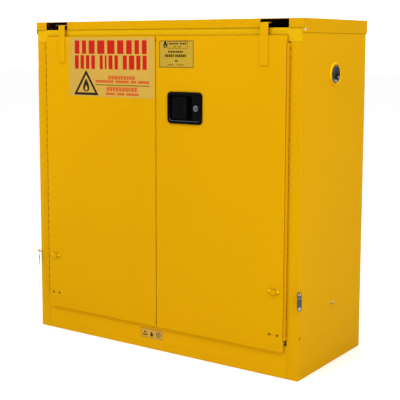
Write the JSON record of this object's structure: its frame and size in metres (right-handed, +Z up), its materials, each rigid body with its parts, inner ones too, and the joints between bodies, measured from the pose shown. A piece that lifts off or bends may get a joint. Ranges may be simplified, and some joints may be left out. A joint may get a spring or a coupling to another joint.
{
  "type": "flammable storage cabinet",
  "caption": "Double-wall steel cabinet for flammable liquids: self-closing hinged doors, paddle latch, door arms under a top cover, fusible links, shelf, leakproof sill and vents.",
  "frame": {"origin": "middle of the floor panel's underside, on the floor", "axes": "+Z up, front and doors towards -Y, +X to the right as seen from the front"},
  "size_m": [1.1152, 0.478, 1.138],
  "materials": {
    "yellow_paint": "safety yellow powder coat, fine orange peel",
    "inner_paint": "the same powder coat inside the cabinet, slightly duller",
    "zinc_steel": "clear zinc plate",
    "galvanized_steel": "galvanized, faint spangle",
    "vent_metal": "bright plated steel",
    "screen_metal": "fine woven steel screen",
    "closer_grey": "dark grey paint",
    "link_metal": "dull bluish nickel",
    "latch_black": "black, fine texture",
    "lock_chrome": "polished",
    "label_film": "printed vinyl film"
  },
  "bodies": {
    "cabinet": {"left_side_panel": "yellow_paint", "right_side_panel": "yellow_paint", "back_panel": "yellow_paint", "top_deck": "inner_paint", "floor_panel": "inner_paint", "floor_channels": "inner_paint", "base_panel": "yellow_paint", "header_rail": "yellow_paint", "left_side_liner": "inner_paint", "right_side_liner": "inner_paint", "back_liner": "inner_paint", "top_liner": "inner_paint", "sill_pan": "inner_paint", "mechanism_cover": "yellow_paint", "cover_screws": "zinc_steel", "left_frame_hinge": "yellow_paint", "right_frame_hinge": "yellow_paint", "hinge_pins": "yellow_paint", "shelf_standards": "galvanized_steel", "shelf_clips": "galvanized_steel", "latch_strikes": "zinc_steel", "vent_bushings": "yellow_paint", "vent_plugs": "vent_metal", "flame_arresters": "screen_metal", "ground_screw": "yellow_paint", "link_hooks": "yellow_paint", "left_closer": "closer_grey", "right_closer": "closer_grey", "base_label": "label_film"},
    "shelf": {"shelf": "galvanized_steel"},
    "left_door": {"left_door_skin": "yellow_paint", "left_door_liner": "inner_paint", "left_door_hinge": "yellow_paint", "left_door_arm": "yellow_paint", "left_link_catch": "yellow_paint", "left_door_rivets": "yellow_paint", "left_door_label": "label_film"},
    "right_door": {"right_door_skin": "yellow_paint", "right_door_liner": "inner_paint", "right_door_hinge": "yellow_paint", "right_door_arm": "yellow_paint", "right_link_catch": "yellow_paint", "right_door_rivets": "yellow_paint", "right_door_label": "label_film", "latch_housing": "latch_black", "lock_barrel": "lock_chrome", "paddle_pin": "latch_black", "rod_guides": "zinc_steel"},
    "left_closer_lever": {"left_closer_lever": "zinc_steel"},
    "right_closer_lever": {"right_closer_lever": "zinc_steel"},
    "left_link_rod": {"left_link_rod": "zinc_steel"},
    "right_link_rod": {"right_link_rod": "zinc_steel"},
    "left_fusible_link": {"left_fusible_link": "link_metal"},
    "right_fusible_link": {"right_fusible_link": "link_metal"},
    "latch_paddle": {"latch_paddle": "latch_black"},
    "centre_bolt": {"centre_bolt": "zinc_steel"},
    "latch_cam": {"latch_cam": "zinc_steel"},
    "top_rod": {"top_rod": "zinc_steel"},
    "bottom_rod": {"bottom_rod": "zinc_steel"},
    "lock_plug": {"lock_plug": "lock_chrome"}
  },
  "joints": [
    {"name": "right_door_swing", "type": "hinge", "parent": "cabinet", "child": "right_door", "pos_m": [0.5, -0.2335, 0.6], "axis": [0, 0, 1], "range_deg": [0, 100], "stiffness_Nm_per_rad": 6, "springref_deg": -14.32},
    {"name": "right_link_swing", "type": "hinge", "parent": "right_door", "child": "right_link_rod", "pos_m": [0.52122, -0.15429, 1.128], "axis": [0, 0, 1], "range_deg": [-100, 0]},
    {"name": "right_lever_swing", "type": "hinge", "parent": "cabinet", "child": "right_closer_lever", "pos_m": [0.345, -0.1185, 1.118], "axis": [0, 0, 1], "range_deg": [0, 100]},
    {"name": "right_fusible_swing", "type": "hinge", "parent": "cabinet", "child": "right_fusible_link", "pos_m": [0.55116, -0.23366, 0.284], "axis": [0.7071, -0.7071, 0], "range_deg": [-45, 90]},
    {"name": "left_door_swing", "type": "hinge", "parent": "cabinet", "child": "left_door", "pos_m": [-0.5, -0.2335, 0.6], "axis": [0, 0, -1], "range_deg": [0, 100], "stiffness_Nm_per_rad": 6, "springref_deg": -14.32},
    {"name": "left_link_swing", "type": "hinge", "parent": "left_door", "child": "left_link_rod", "pos_m": [-0.52122, -0.15429, 1.128], "axis": [0, 0, -1], "range_deg": [-100, 0]},
    {"name": "left_lever_swing", "type": "hinge", "parent": "cabinet", "child": "left_closer_lever", "pos_m": [-0.345, -0.1185, 1.118], "axis": [0, 0, -1], "range_deg": [0, 100]},
    {"name": "left_fusible_swing", "type": "hinge", "parent": "cabinet", "child": "left_fusible_link", "pos_m": [-0.55116, -0.23366, 0.284], "axis": [0.7071, 0.7071, 0], "range_deg": [-45, 90]},
    {"name": "paddle_pull", "type": "hinge", "parent": "right_door", "child": "latch_paddle", "pos_m": [0.074, -0.2365, 0.849], "axis": [0, 0, -1], "range_deg": [0, 35], "stiffness_Nm_per_rad": 0.6, "springref_deg": -17.19},
    {"name": "bolt_slide", "type": "slide", "parent": "right_door", "child": "centre_bolt", "axis": [1, 0, 0], "range_m": [0, 0.013]},
    {"name": "cam_turn", "type": "hinge", "parent": "right_door", "child": "latch_cam", "pos_m": [0.11, -0.2085, 0.849], "axis": [0, 1, 0], "range_deg": [0, 35]},
    {"name": "top_rod_slide", "type": "slide", "parent": "right_door", "child": "top_rod", "axis": [0, 0, -1], "range_m": [0, 0.01]},
    {"name": "bottom_rod_slide", "type": "slide", "parent": "right_door", "child": "bottom_rod", "axis": [0, 0, 1], "range_m": [0, 0.01]},
    {"name": "key_turn", "type": "hinge", "parent": "right_door", "child": "lock_plug", "pos_m": [0.164, -0.2335, 0.849], "axis": [0, 1, 0], "range_deg": [0, 90]},
    {"name": "shelf_lift", "type": "slide", "parent": "cabinet", "child": "shelf", "axis": [0, 0, 1], "range_m": [0, 0.04]}
  ],
  "couplings": [
    {"joint": "right_link_swing", "follows": "right_door_swing", "ratio": -1},
    {"joint": "right_lever_swing", "follows": "right_door_swing", "ratio": 1},
    {"joint": "left_link_swing", "follows": "left_door_swing", "ratio": -1},
    {"joint": "left_lever_swing", "follows": "left_door_swing", "ratio": 1},
    {"joint": "bolt_slide", "follows": "paddle_pull", "m_per_rad": 0.021},
    {"joint": "cam_turn", "follows": "paddle_pull", "ratio": 1},
    {"joint": "top_rod_slide", "follows": "paddle_pull", "m_per_rad": 0.016},
    {"joint": "bottom_rod_slide", "follows": "paddle_pull", "m_per_rad": 0.016}
  ]
}
